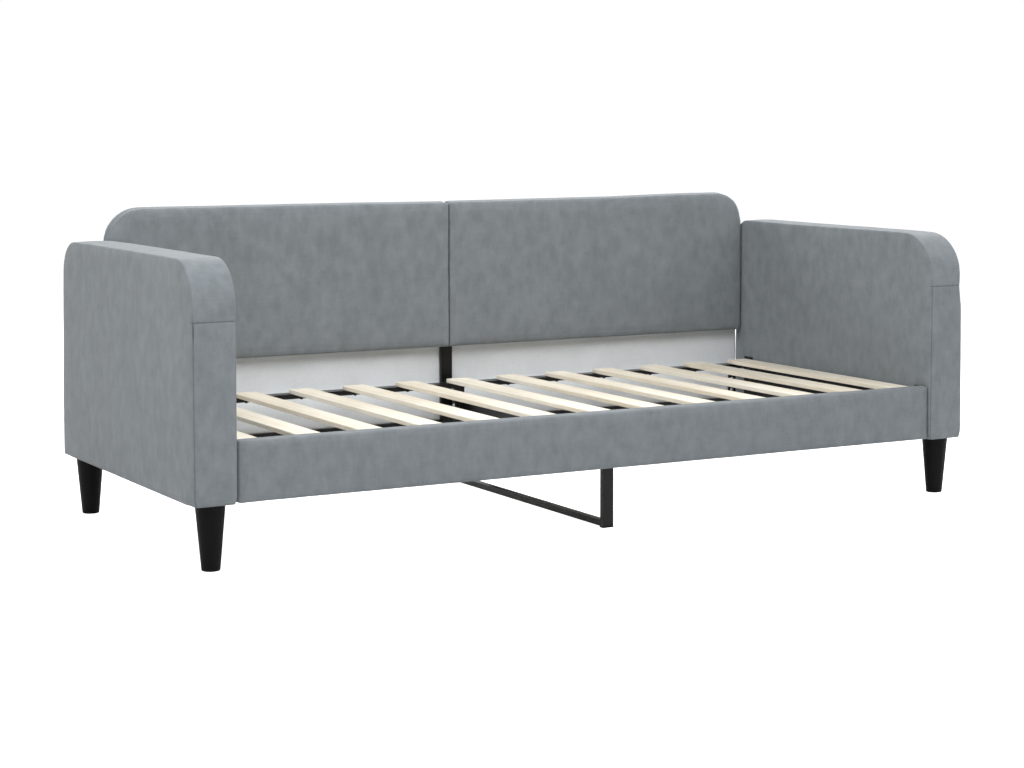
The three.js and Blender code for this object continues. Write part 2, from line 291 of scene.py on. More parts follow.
def weave_pattern():
    """Crossing threads on any flat side: a height that rises and falls along each axis."""
    group, start, end = new_group(
        "Weave",
        [("Place", "NodeSocketVector", None), ("Threads per metre", "NodeSocketFloat", 600)],
        [("Height", "NodeSocketFloat")])
    split = group.nodes.new("ShaderNodeSeparateXYZ")
    group.links.new(start.outputs["Place"], split.inputs[0])
    turns = math_node(group, "MULTIPLY", start.outputs["Threads per metre"], 2 * math.pi)
    total = None
    for axis in range(3):
        angle = math_node(group, "MULTIPLY", split.outputs[axis], turns)
        thread = math_node(group, "SINE", angle)
        total = thread if total is None else math_node(group, "ADD", total, thread)
    one_axis_share = 0.33
    height = math_node(group, "MULTIPLY", total, one_axis_share)
    group.links.new(height, end.inputs["Height"])
    return group


# How much of the brushed look comes from each layer. They add up to 1.
UPRIGHT_SHARE = 0.18
LEVEL_SHARE = 0.14
PATCH_SHARE = 0.68


def mottle_pattern():
    """The brushed weave's short streaks, up and across, over broader blotches."""
    group, start, end = new_group(
        "Brushed weave", [("Place", "NodeSocketVector", None)],
        [("Streaks", "NodeSocketFloat"), ("Clouds", "NodeSocketFloat")])
    place = start.outputs["Place"]
    upright = noise_value(group, scaled_place(group, place, (1, 1, 0.2)), 170, detail=2)
    level = noise_value(group, scaled_place(group, place, (0.2, 0.2, 1)), 190, detail=2)
    patches = noise_value(group, scaled_place(group, place, (1, 1, 0.7)), 32, detail=3)
    streaks = math_node(group, "MULTIPLY", upright, UPRIGHT_SHARE)
    for layer, share in ((level, LEVEL_SHARE), (patches, PATCH_SHARE)):
        streaks = math_node(group, "ADD", streaks, math_node(group, "MULTIPLY", layer, share))
    group.links.new(streaks, end.inputs["Streaks"])
    group.links.new(noise_value(group, place, 5.5, detail=2), end.inputs["Clouds"])
    return group


def grain_pattern():
    """Wood grain that runs along Y, different in every board."""
    group, start, end = new_group(
        "Wood grain",
        [("Place", "NodeSocketVector", None), ("Lines per metre", "NodeSocketFloat", 120)],
        [(label, "NodeSocketFloat") for label in ("Lines", "Fibres", "Knots")])
    long_place = scaled_place(group, start.outputs["Place"], (1, 0.045, 1))
    wander = noise_value(group, long_place, 14, detail=2)
    split = group.nodes.new("ShaderNodeSeparateXYZ")
    group.links.new(start.outputs["Place"], split.inputs[0])
    across = math_node(group, "MULTIPLY", split.outputs[0], start.outputs["Lines per metre"])
    wandering = math_node(group, "MULTIPLY", wander, 22)
    bent = math_node(group, "ADD", wandering, across)
    lines = math_node(group, "MULTIPLY", math_node(group, "SINE", bent), 0.5)
    lines = math_node(group, "ADD", lines, 0.5)
    fibres_place = scaled_place(group, start.outputs["Place"], (1, 0.03, 1))
    fibres = noise_value(group, fibres_place, 520, detail=3, roughness=0.6)
    knots_place = scaled_place(group, start.outputs["Place"], (7, 2.6, 7))
    cells = add_node(group, "ShaderNodeTexVoronoi", Scale=1.0, Randomness=1.0)
    group.links.new(knots_place, cells.inputs["Vector"])
    knots = add_node(group, "ShaderNodeMapRange", From_Min=0.05, From_Max=0.09, To_Min=1.0,
                     To_Max=0.0)
    group.links.new(cells.outputs["Distance"], knots.inputs["Value"])
    group.links.new(lines, end.inputs["Lines"])
    group.links.new(fibres, end.inputs["Fibres"])
    group.links.new(knots.outputs[0], end.inputs["Knots"])
    return group


WEAVE = weave_pattern()
PILE = mottle_pattern()
GRAIN = grain_pattern()


# ---- Finishes -------------------------------------------------------------------------------


def srgb(red, green, blue):
    """A colour given in everyday 0 to 255 steps, as the shader wants it."""
    def linear(level):
        share = level / 255
        return share / 12.92 if share <= 0.04045 else ((share + 0.055) / 1.055) ** 2.4
    return (linear(red), linear(green), linear(blue), 1.0)


def new_finish(name, roughness, metallic=0.0):
    material = bpy.data.materials.new(name)
    material.use_nodes = True
    tree = material.node_tree
    shader = tree.nodes["Principled BSDF"]
    shader.inputs["Roughness"].default_value = roughness
    shader.inputs["Metallic"].default_value = metallic
    place = tree.nodes.new("ShaderNodeTexCoord").outputs["Object"]
    return material, tree, shader, place


def use_group(tree, group, place, **values):
    node = tree.nodes.new("ShaderNodeGroup")
    node.node_tree = group
    tree.links.new(place, node.inputs["Place"])
    for label, value in values.items():
        node.inputs[label.replace("_", " ")].default_value = value
    return node


def colour_between(tree, value, low, high, dark, light):
    ramp = tree.nodes.new("ShaderNodeValToRGB")
    ramp.color_ramp.elements[0].position = low
    ramp.color_ramp.elements[1].position = high
    ramp.color_ramp.elements[0].color = dark
    ramp.color_ramp.elements[1].color = light
    tree.links.new(value, ramp.inputs["Fac"])
    return ramp.outputs["Color"]


def mix_colour(tree, share, first, second, blend="MIX"):
    node = tree.nodes.new("ShaderNodeMix")
    node.data_type = "RGBA"
    node.blend_type = blend
    sockets = [socket for socket in node.inputs if socket.enabled]
    for socket, value in zip(sockets, (share, first, second)):
        if isinstance(value, (float, int, tuple)):
            socket.default_value = value
        else:
            tree.links.new(value, socket)
    return [socket for socket in node.outputs if socket.enabled][0]


def bump(tree, shader, heights, distance):
    """Adds up heights with their shares, and feeds the shader's normal."""
    total = None
    for height, share in heights:
        part = math_node(tree, "MULTIPLY", height, share)
        total = part if total is None else math_node(tree, "ADD", total, part)
    node = add_node(tree, "ShaderNodeBump", Strength=1.0, Distance=distance)
    tree.links.new(total, node.inputs["Height"])
    tree.links.new(node.outputs["Normal"], shader.inputs["Normal"])


WHITE = (1, 1, 1, 1)
# Painted shade for seam floors.
SEAM_SHADOW = srgb(46, 49, 51)


def grey(level):
    return (level, level, level, 1)


def brushed_fabric(name, dark, light):
    material, tree, shader, place = new_finish(name, 0.9)
    shader.inputs["Sheen Weight"].default_value = 0.3
    shader.inputs["Sheen Roughness"].default_value = 0.35
    shader.inputs["Specular IOR Level"].default_value = 0.2
    pile = use_group(tree, PILE, place)
    weave = use_group(tree, WEAVE, place, Threads_per_metre=560.0)
    base = colour_between(tree, pile.outputs["Streaks"], 0.35, 0.65, dark, light)
    clouds = colour_between(tree, pile.outputs["Clouds"], 0.35, 0.65, grey(0.965), WHITE)
    threads = colour_between(tree, weave.outputs["Height"], -0.8, 0.8, grey(0.93), WHITE)
    tinted = mix_colour(tree, 1.0, base, clouds, "MULTIPLY")
    woven = mix_colour(tree, 1.0, tinted, threads, "MULTIPLY")
    # Painted shade in seam floors: SEAM_SHADOW mixed in by the amount stored on the cover mesh.
    painted_seam_shade = tree.nodes.new("ShaderNodeAttribute")
    painted_seam_shade.attribute_name = "painted_seam_shade"
    with_seam_shade = mix_colour(tree, painted_seam_shade.outputs["Fac"], woven, SEAM_SHADOW)
    tree.links.new(with_seam_shade, shader.inputs["Base Color"])
    bump(tree, shader, ((weave.outputs["Height"], 0.25), (pile.outputs["Streaks"], 0.5)), 0.0006)
    return material


def bonded_cloth(name, dark, light):
    """Thin non-woven cloth with its grid of small bonding dimples."""
    material, tree, shader, place = new_finish(name, 0.85)
    shader.inputs["Specular IOR Level"].default_value = 0.3
    weave = use_group(tree, WEAVE, place, Threads_per_metre=330.0)
    fibres = noise_value(tree, place, 240, detail=4, roughness=0.7)
    clouds = noise_value(tree, place, 9, detail=3)
    base = colour_between(tree, fibres, 0.2, 0.8, dark, light)
    patches = colour_between(tree, clouds, 0.3, 0.7, grey(0.94), WHITE)
    tree.links.new(mix_colour(tree, 1.0, base, patches, "MULTIPLY"), shader.inputs["Base Color"])
    bump(tree, shader, ((weave.outputs["Height"], 0.4), (fibres, 0.6)), 0.0006)
    return material


def planed_wood(name, early, late, knot, lines=120.0, roughness=0.55):
    material, tree, shader, place = new_finish(name, roughness)
    grain = use_group(tree, GRAIN, place, Lines_per_metre=lines)
    base = colour_between(tree, grain.outputs["Lines"], 0.1, 0.95, early, late)
    fibres = colour_between(tree, grain.outputs["Fibres"], 0.25, 0.75, grey(0.86), WHITE)
    patches = colour_between(tree, noise_value(tree, place, 6, detail=2), 0.3, 0.7,
                             (0.9, 0.88, 0.84, 1), WHITE)
    colour = mix_colour(tree, 1.0, base, fibres, "MULTIPLY")
    colour = mix_colour(tree, 1.0, colour, patches, "MULTIPLY")
    colour = mix_colour(tree, grain.outputs["Knots"], colour, knot)
    tree.links.new(colour, shader.inputs["Base Color"])
    bump(tree, shader, ((grain.outputs["Fibres"], 0.7), (grain.outputs["Lines"], 0.3)), 0.0005)
    return material


def lighter(colour, gain):
    return tuple(min(1.0, part * gain) for part in colour[:3]) + (1.0,)


def vary(tree, shader, patches, dark, light, smoothest, roughest):
    """Lets colour and roughness drift with soft patches."""
    tree.links.new(colour_between(tree, patches, 0.3, 0.7, dark, light),
                   shader.inputs["Base Color"])
    rough = add_node(tree, "ShaderNodeMapRange", To_Min=smoothest, To_Max=roughest)
    tree.links.new(patches, rough.inputs["Value"])
    tree.links.new(rough.outputs[0], shader.inputs["Roughness"])


def painted_steel(name, colour, roughness):
    material, tree, shader, place = new_finish(name, roughness)
    shader.inputs["Specular IOR Level"].default_value = 0.35
    peel = noise_value(tree, place, 900, detail=2)
    patches = noise_value(tree, place, 18, detail=3)
    vary(tree, shader, patches, colour, lighter(colour, 1.35), roughness - 0.06, roughness + 0.1)
    bump(tree, shader, ((peel, 1.0),), 0.0003)
    return material


def bright_zinc(name):
    material, tree, shader, place = new_finish(name, 0.35, 0.9)
    patches = noise_value(tree, place, 160, detail=3)
    vary(tree, shader, patches, srgb(150, 152, 156), srgb(196, 198, 200), 0.25, 0.45)
    bump(tree, shader, ((patches, 1.0),), 0.0002)
    return material


def moulded_plastic(name, colour):
    material, tree, shader, place = new_finish(name, 0.45)
    shader.inputs["Specular IOR Level"].default_value = 0.12
    texture = noise_value(tree, place, 1400, detail=2)
    patches = noise_value(tree, place, 25, detail=3)
    vary(tree, shader, patches, colour, lighter(colour, 1.3), 0.4, 0.53)
    bump(tree, shader, ((texture, 1.0),), 0.0002)
    return material


FABRIC = brushed_fabric("Grey brushed fabric", srgb(121, 127, 131), srgb(136, 142, 146))
LINING = bonded_cloth("Pale backing cloth", srgb(222, 226, 229), srgb(238, 241, 243))
BLACK_CLOTH = bonded_cloth("Black dust cloth", srgb(20, 21, 23), srgb(34, 35, 38))
PINE = planed_wood("Planed pine", srgb(253, 247, 233), srgb(247, 237, 217), srgb(170, 130, 84))
TIMBER = planed_wood("Rough timber", srgb(212, 184, 138), srgb(188, 152, 104), srgb(120, 80, 44),
                     lines=80.0, roughness=0.75)
BLACK_STEEL = painted_steel("Black painted steel", srgb(9, 9, 10), 0.3)
ZINC = bright_zinc("Zinc plated steel")
BLACK_PLASTIC = moulded_plastic("Black moulded plastic", srgb(8, 8, 8))


def finish_with(piece, slot, material, *more):
    for each in (material, *more):
        piece.data.materials.append(each)


def finish_cad_nodes():
    """Gives every CAD node that stays its own finish, by what it is made of."""
    kinds = {
        "foot_plate": ZINC, "foot": BLACK_PLASTIC, "centre_glide": BLACK_PLASTIC, "slat": PINE,
        "arm_front_post": TIMBER, "arm_rear_post": TIMBER, "arm_top_rail": TIMBER,
        "arm_bottom_rail": TIMBER, "back_board": TIMBER, "front_rail_board": TIMBER,
    }
    for name, node in NODES.items():
        chosen = next((kinds[kind] for kind in kinds if name.startswith(kind)), BLACK_STEEL)
        node.data.materials.clear()
        node.data.materials.append(chosen)
        node.data.polygons.foreach_set("material_index", [0] * len(node.data.polygons))


# ---- Arms -----------------------------------------------------------------------------------

ARM_STEP = 13 * MM
ARM_FRONT_RADIUS = {"left": 108 * MM, "right": 124 * MM}
ARM_REAR_RADIUS = {"left": 80 * MM, "right": 45 * MM}
ARM_TOP_LEAN = {"left": 17 * MM, "right": 6 * MM}
ARM_REAR_FALL = {"left": 2.4 * MM, "right": -0.8 * MM}
ARM_LEAN_CURVE = 1.35  # above 1, the lean grows towards the top
ARM_FOOT_KICK = 7 * MM
ARM_HEM_DROP = {"left": 0, "right": 1.2 * MM}
INNER_INSET = 2.6 * MM  # the inner side starts this much in, and swells back
ARM_TOP_SEAM = 573 * MM
ARM_BAND_LOOPS = 8
SEAM_LOOP_GAP = 2.2 * MM
SEAM_WIDTH = 2.4 * MM
NEAR_OUTER = 14 * MM  # how far from the outer side a point still belongs to it


def panel_edges(piece, faces_x):
    """Edges along which a side panel meets the band that runs over the arm."""
    kinds = {}
    for polygon in piece.data.polygons:
        side = abs(polygon.normal.x) > 0.99
        for key in polygon.edge_keys:
            kinds.setdefault(key, set()).add(side)
    found = []
    for edge in piece.data.edges:
        ends = [piece.data.vertices[index].co for index in edge.vertices]
        on_side = all(min(abs(co.x - x) for x in faces_x) < 0.2 * MM for co in ends)
        if on_side and len(kinds[edge.key]) == 2:
            found.append(edge.index)
    return found


def cover_arm(side_name):
    side = SIDES[side_name]
    low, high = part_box(f"arm_cover_{side_name}")
    low.z -= ARM_HEM_DROP[side_name]
    if side > 0:
        low.x += INNER_INSET
    else:
        high.x -= INNER_INSET
    inner, outer = (low.x, high.x) if side > 0 else (high.x, low.x)
    size = high - low
    middle = (low + high) / 2
    start = Vector((low.x, middle.y, middle.z))
    bm = flat_grid(start, Y_AXIS, Z_AXIS, size.y, size.z, ARM_STEP)
    ends = ((low.y, -1, ARM_FRONT_RADIUS[side_name]), (high.y, 1, ARM_REAR_RADIUS[side_name]))
    for y, toward_y, radius in ends:
        round_corner(bm, (1, 2), (y - toward_y * radius, high.z - radius), (toward_y, 1), radius)
    thicken(bm, X_AXIS * size.x, ARM_BAND_LOOPS)
    for offset in (-SEAM_LOOP_GAP, 0, SEAM_LOOP_GAP):
        whole = bm.verts[:] + bm.edges[:] + bm.faces[:]
        bmesh.ops.bisect_plane(bm, geom=whole, plane_co=Vector((0, 0, ARM_TOP_SEAM + offset)),
                               plane_no=Z_AXIS)
    remove_faces(bm, lambda face: face.normal.z < -0.99
                 and face.calc_center_median().z < low.z + MM)
    piece = finished(f"arm_upholstery_{side_name}", bm)
    seam = panel_edges(piece, (inner, outer))
    seam_points = {index for edge in seam for index in piece.data.edges[edge].vertices}
    kept = {tuple(round(part, 5) for part in piece.data.vertices[index].co)
            for index in seam_points}

    def held(co):
        on_hem = co.z < low.z + MM
        return 1.0 if on_hem or tuple(round(part, 5) for part in co) in kept else 0.0

    def rise(co):
        if abs(co.x - inner) < MM:
            return 2.4 * MM
        if co.z > high.z - MM:
            return 4.5 * MM
        return 3.2 * MM

    swell(piece, held, rise)
    lean_rear(piece, low, high, ARM_TOP_LEAN[side_name], ARM_REAR_FALL[side_name])
    if side > 0:
        bulge_outer_side(piece, outer, side)
    round_foot_corners(piece, low, middle)
    ripple(piece, 0.7 * MM, side + 2)

    def gape(co):
        """1 where the outer seam stands open, just under the cross seam."""
        at_outer_front = co.y < low.y + 10 * MM and abs(co.x - outer) < NEAR_OUTER
        return hump(co.z, ARM_TOP_SEAM - 24 * MM, 34 * MM) if at_outer_front else 0.0

    def seam_depth(co):
        """A drawn-in seam under the cross seam, and only a rolled edge above it."""
        return 0.6 * MM + 1.4 * MM * under_cross_seam(co.z) + 2.5 * MM * gape(co)

    # Painted shade for the seam floor: more under the cross seam, most where it stands open.
    def seam_shade_at(co):
        return 0.08 + 0.4 * under_cross_seam(co.z) + 0.5 * gape(co)

    sew(piece, seam, SEAM_WIDTH, seam_depth, seam_shade_at)
    sink_cross_seam(piece, low)
    subdivide(piece, 1)
    give_wall(piece, 9 * MM)
    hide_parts(f"arm_cover_{side_name}")
    finish_with(piece, "fabric", FABRIC)


def lean_rear(piece, low, high, lean, fall):
    """The back of an arm stands out at its foot, leans forward to its top and dips there."""
    for vert in piece.data.vertices:
        near_back = smooth_step(high.y - 300 * MM, high.y, vert.co.y)
        up = max(0.0, (vert.co.z - low.z) / (high.z - low.z))
        vert.co.y += near_back * (ARM_FOOT_KICK - (ARM_FOOT_KICK + lean) * up ** ARM_LEAN_CURVE)
        near_top = smooth_step(high.z - 150 * MM, high.z, vert.co.z)
        vert.co.z -= fall * near_back * near_top


def under_cross_seam(height):
    return smooth_step(ARM_TOP_SEAM + 12 * MM, ARM_TOP_SEAM - 4 * MM, height)


def bulge_outer_side(piece, outer, side):
    """The outer side panel is drawn in at the cross seam and stands out below it."""
    for vert in piece.data.vertices:
        if abs(vert.co.x - outer) < NEAR_OUTER:
            below = smooth_step(ARM_TOP_SEAM + 20 * MM, ARM_TOP_SEAM - 60 * MM, vert.co.z)
            lower = smooth_step(ARM_TOP_SEAM - 60 * MM, ARM_TOP_SEAM - 350 * MM, vert.co.z)
            drawn = hump(vert.co.z, ARM_TOP_SEAM, 75 * MM)
            vert.co.x += side * MM * (4.5 * below + 3 * lower - 3.5 - 3.5 * drawn)


def round_foot_corners(piece, low, middle):
    """Draws in the lower corners of the arm's front, as the cover is pulled under them."""
    reach_up, reach_back = 13.5 * MM, 40 * MM
    for vert in piece.data.vertices:
        up = vert.co.z - low.z
        if up < reach_up and vert.co.y < low.y + reach_back:
            drawn = (1 - up / reach_up) ** 2
            vert.co.x += (middle.x - vert.co.x) * 0.07 * drawn
            vert.co.y += 2 * MM * drawn * smooth_step(low.y + reach_back, low.y, vert.co.y)


def sink_cross_seam(piece, low):
    """Pulls in the seam that crosses the front of the band and paints shade into it."""
    bm = bmesh.new()
    bm.from_mesh(piece.data)
    painted_seam_shade = bm.verts.layers.float["painted_seam_shade"]
    for vert in bm.verts:
        near = abs(vert.co.z - ARM_TOP_SEAM) < 0.8 * MM
        if near and vert.co.y < low.y + 8 * MM:
            vert.co.y += 1.5 * MM
            # Painted shade along the cross seam.
            vert[painted_seam_shade] = max(vert[painted_seam_shade], 0.5)
    bm.to_mesh(piece.data)
    bm.free()


# The planed faces of the left arm's rear post: two points of each, along Y and up, in mm.
POST_CUTS = (((457.5, 440), (446, 645)), ((446, 645), (414, 699)))


def plane_rear_post():
    """The left arm's cover leans forward at the back, so its post is planed to stay inside."""
    node = NODES["arm_rear_post_left"]
    bm = bmesh.new()
    bm.from_mesh(node.data)
    bm.transform(node.matrix_world)
    for (y, z), (next_y, next_z) in POST_CUTS:
        whole = bm.verts[:] + bm.edges[:] + bm.faces[:]
        cut = bmesh.ops.bisect_plane(
            bm, geom=whole, plane_co=Vector((0, y, z)) * MM,
            plane_no=Vector((0, next_z - z, y - next_y)).normalized(), clear_outer=True)
        rim = [item for item in cut["geom_cut"] if isinstance(item, bmesh.types.BMEdge)]
        bmesh.ops.holes_fill(bm, edges=rim)
    bmesh.ops.recalc_face_normals(bm, faces=bm.faces[:])
    piece = finished("arm_rear_post_planed", bm, smooth=False)
    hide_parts("arm_rear_post_left")
    finish_with(piece, "timber", TIMBER)


# ---- Back -----------------------------------------------------------------------------------

BACK_STEP = 13 * MM
BACK_CORNER_RADIUS = {"left": 94 * MM, "right": 84 * MM}
BACK_SIDE_INSET = {"left": 3.2 * MM, "right": 0.5 * MM}
BACK_END_RISE = {"left": -1.6 * MM, "right": 5.5 * MM}
BACK_RISE_FROM = {"left": 180 * MM, "right": 500 * MM}
BACK_SEAM_FALL = {"left": 3.5 * MM, "right": 2.3 * MM}
BACK_LOWER_RADIUS = 14 * MM
POST_CLEAR = 24 * MM


def cover_back(side_name):
    side = SIDES[side_name]
    pad_low, pad_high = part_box(f"back_pad_{side_name}")
    board_low, board_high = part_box(f"back_board_{side_name}")
    low = pad_low + Vector((0, 2.5, 1)) * MM
    high = Vector((pad_high.x, board_high.y, pad_high.z - MM))
    if side > 0:
        high.x -= BACK_SIDE_INSET[side_name]
    else:
        low.x += BACK_SIDE_INSET[side_name]
    size = high - low
    middle = (low + high) / 2
    start = Vector((middle.x, low.y, middle.z))
    bm = flat_grid(start, X_AXIS, Z_AXIS, size.x, size.z, BACK_STEP)
    outer = high.x if side > 0 else low.x
    inner = low.x if side > 0 else high.x
    corners = (
        (outer, high.z, side, 1, BACK_CORNER_RADIUS[side_name]),
        (outer, low.z, side, -1, BACK_LOWER_RADIUS),
        (inner, high.z, -side, 1, 6 * MM),
    )
    for x, z, toward_x, toward_z, radius in corners:
        centre = (x - toward_x * radius, z - toward_z * radius)
        round_corner(bm, (0, 2), centre, (toward_x, toward_z), radius)
    thicken(bm, Y_AXIS * size.y, 4)
    piece = finished(f"back_upholstery_{side_name}", bm)
    board_face = board_low.y

    def held(co):
        return smooth_step(board_face - 4 * MM, board_face + 6 * MM, co.y)

    def rise(co):
        return 0.6 * MM if min(abs(co.x - inner), abs(co.x - outer)) < MM else 3.6 * MM

    swell(piece, held, rise)
    shape_top(piece, high, side_name)
    ripple(piece, 0.7 * MM, side + 5)
    hollow_for_board(piece, board_low, board_high)
    subdivide(piece, 1)
    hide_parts(f"back_pad_{side_name}")
    finish_with(piece, "fabric", FABRIC)


def shape_top(piece, high, side_name):
    """The top edge falls a little to the seam in the middle, and rises or dips to the arm."""
    rise_from = BACK_RISE_FROM[side_name]
    end_rise = BACK_END_RISE[side_name]
    fall = BACK_SEAM_FALL[side_name]
    for vert in piece.data.vertices:
        near_seam = smooth_step(500 * MM, 0, abs(vert.co.x))
        near_arm = smooth_step(rise_from, rise_from + 350 * MM, abs(vert.co.x))
        near_top = smooth_step(high.z - 120 * MM, high.z, vert.co.z)
        vert.co.z += (end_rise * near_arm - fall * near_seam) * near_top


def hollow_for_board(piece, board_low, board_high):
    """Turns the back of the slab into a tray that wraps the edges of the board."""
    bm = bmesh.new()
    bm.from_mesh(piece.data)
    rear = [face for face in bm.faces if face.normal.y > 0.9
            and face.calc_center_median().y > board_high.y - 2 * MM]
    bmesh.ops.inset_region(bm, faces=rear, thickness=1.9 * MM, use_even_offset=True,
                           use_boundary=True)
    inside = set(rear)
    grown = bmesh.ops.extrude_face_region(bm, geom=rear)
    verts = [item for item in grown["geom"] if isinstance(item, bmesh.types.BMVert)]
    bmesh.ops.delete(bm, geom=[face for face in inside if face.is_valid], context="FACES_ONLY")
    seat = board_low.y - 0.4 * MM
    for vert in verts:
        vert.co.y = seat
    creases = bm.edges.layers.float.new("crease_edge")
    for edge in bm.edges:
        if all(vert.co.y > board_high.y - MM for vert in edge.verts):
            edge[creases] = 1.0
    for vert in bm.verts:
        by_post = abs(vert.co.x) < POST_CLEAR and vert.co.z < board_high.z - 30 * MM
        if by_post:
            vert.co.y = min(vert.co.y, seat + 1.5 * MM)
    bmesh.ops.recalc_face_normals(bm, faces=bm.faces[:])
    bm.to_mesh(piece.data)
    bm.free()
    piece.data.polygons.foreach_set("use_smooth", [True] * len(piece.data.polygons))


# ---- Front rail -----------------------------------------------------------------------------

RAIL_STEP = 12 * MM


def cover_front_rail():
    low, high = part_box("front_rail_cover")
    low = low + Vector((0, 2, -2.3)) * MM
    high = high - Vector((0, 0, 0.2)) * MM
    size = high - low
    middle = (low + high) / 2
    bm = flat_grid(Vector((middle.x, low.y, middle.z)), X_AXIS, Z_AXIS, size.x, size.z, RAIL_STEP)
    thicken(bm, Y_AXIS * size.y, 3)
    remove_faces(bm, lambda face: face.normal.y > 0.9)
    piece = finished("front_rail_upholstery", bm)

    def held(co):
        return smooth_step(high.y - 12 * MM, high.y - 2 * MM, co.y)

    def rise(co):
        return 0.3 * MM if co.x < low.x + MM or co.x > high.x - MM else 2.2 * MM

    swell(piece, held, rise)
    pucker_rail(piece, low)
    ripple(piece, 0.5 * MM, 9)
    crease(piece, lambda co: co.y < low.y + 3 * MM and co.z < low.z + 3 * MM, 0.6)
    subdivide(piece, 1)
    give_wall(piece, 6 * MM)
    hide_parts("front_rail_cover")
    finish_with(piece, "fabric", FABRIC)


def pucker_rail(piece, low):
    """Slack folds that slant up from the rail's lower left corner."""
    fold_spacing = 78 * MM
    fold_depth = 1.1 * MM
    for vert in piece.data.vertices:
        from_end = vert.co.x - low.x
        up = vert.co.z - low.z
        near = smooth_step(430 * MM, 40 * MM, from_end) * smooth_step(150 * MM, 20 * MM, up)
        if vert.co.y < low.y + 12 * MM:
            fold = math.sin((from_end * 0.8 - up) * 2 * math.pi / fold_spacing)
            vert.co.y -= fold_depth * near * fold


# ---- Cloths ---------------------------------------------------------------------------------

SKIRT_REACH = {"left": 3 * MM, "right": 6.5 * MM}  # how far the cloth stands out past its board


def give_cloth_thickness(piece, thickness):
    """Gives a cloth its thickness, half to either side."""
    wall = piece.modifiers.new("cloth thickness", "SOLIDIFY")
    wall.thickness = thickness
    wall.offset = 0
    return wall


def slacken_skirt(piece, side_name, low):
    """Lets the cloth wave where neither the board, the steel tube nor a plate holds it."""
    _, rail_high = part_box(f"rear_bottom_rail_{side_name}")
    pad_low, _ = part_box(f"back_pad_{side_name}")
    plate_low, plate_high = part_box(f"rear_corner_plate_{side_name}")
    plate_edge = min(abs(plate_low.x), abs(plate_high.x))
    shift = Vector((SIDES[side_name] * 7, 0, 0))
    for vert in piece.data.vertices:
        free = smooth_step(pad_low.z + 4 * MM, pad_low.z - 30 * MM, vert.co.z)
        free *= smooth_step(rail_high.z - 2 * MM, rail_high.z + 60 * MM, vert.co.z)
        free *= smooth_step(14 * MM, 70 * MM, abs(vert.co.x))
        on_plate = smooth_step(plate_edge - 50 * MM, plate_edge - 10 * MM, abs(vert.co.x))
        on_plate *= smooth_step(plate_high.z + 60 * MM, plate_high.z + 10 * MM, vert.co.z)
        free *= 1 - on_plate
        wave = noise.noise(Vector((vert.co.x * 9, 0, vert.co.z * 2.2)) + shift)
        slack = noise.noise(Vector((vert.co.x * 24, 3, vert.co.z * 5)))
        gathered = smooth_step(low.z, pad_low.z, vert.co.z)
        vert.co.y -= free * MM * (2.2 + 5 * wave + 2 * slack * gathered)


def hang_rear_cloth(side_name):
    """Backing cloth over the board, that hangs below it as a skirt."""
    side = SIDES[side_name]
    low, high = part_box(f"rear_cloth_{side_name}")
    if side > 0:
        high.x += SKIRT_REACH[side_name]
    else:
        low.x -= SKIRT_REACH[side_name]
    size = high - low
    middle = (low + high) / 2
    bm = flat_grid(middle, X_AXIS, Z_AXIS, size.x, size.z, 14 * MM)
    outer = high.x if side > 0 else low.x
    radius = BACK_CORNER_RADIUS[side_name] - 4 * MM
    round_corner(bm, (0, 2), (outer - side * radius, high.z - radius), (side, 1), radius)
    bmesh.ops.recalc_face_normals(bm, faces=bm.faces[:])
    if bm.faces[:][0].normal.y < 0:
        bmesh.ops.reverse_faces(bm, faces=bm.faces[:])
    piece = finished(f"rear_skirt_{side_name}", bm)
    slacken_skirt(piece, side_name, low)
    subdivide(piece, 1)
    wall = give_cloth_thickness(piece, 1.4 * MM)
    wall.material_offset = 1
    wall.material_offset_rim = 0
    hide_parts(f"rear_cloth_{side_name}")
    finish_with(piece, "rear_cloth", FABRIC, LINING)


def line_arm(side_name):
    """Black cloth stretched over the arm's inner side, under the slats."""
    low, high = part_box(f"arm_lining_{side_name}")
    size = high - low
    middle = (low + high) / 2
    bm = flat_grid(middle, Y_AXIS, Z_AXIS, size.y, size.z, 12 * MM)
    piece = finished(f"arm_inner_lining_{side_name}", bm)
    for vert in piece.data.vertices:
        vert.co.x += 0.4 * MM * noise.noise(vert.co * 16)
    give_cloth_thickness(piece, 0.8 * MM)
    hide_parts(f"arm_lining_{side_name}")
    finish_with(piece, "black_cloth", BLACK_CLOTH)


def close_arm_underside(side_name):
    """Black cloth that closes an arm from below."""
    low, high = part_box(f"arm_under_cloth_{side_name}")
    size = high - low
    middle = (low + high) / 2
    bm = flat_grid(middle, X_AXIS, Y_AXIS, size.x, size.y, 12 * MM)
    piece = finished(f"arm_dust_cloth_{side_name}", bm)
    for vert in piece.data.vertices:
        edge = min(vert.co.x - low.x, high.x - vert.co.x)
        sag = smooth_step(0, 30 * MM, edge)
        vert.co.z -= 0.5 * MM * sag * (1 + noise.noise(vert.co * 14))
    give_cloth_thickness(piece, 0.7 * MM)
    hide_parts(f"arm_under_cloth_{side_name}")
    finish_with(piece, "black_cloth", BLACK_CLOTH)


# ---- Fastenings -----------------------------------------------------------------------------


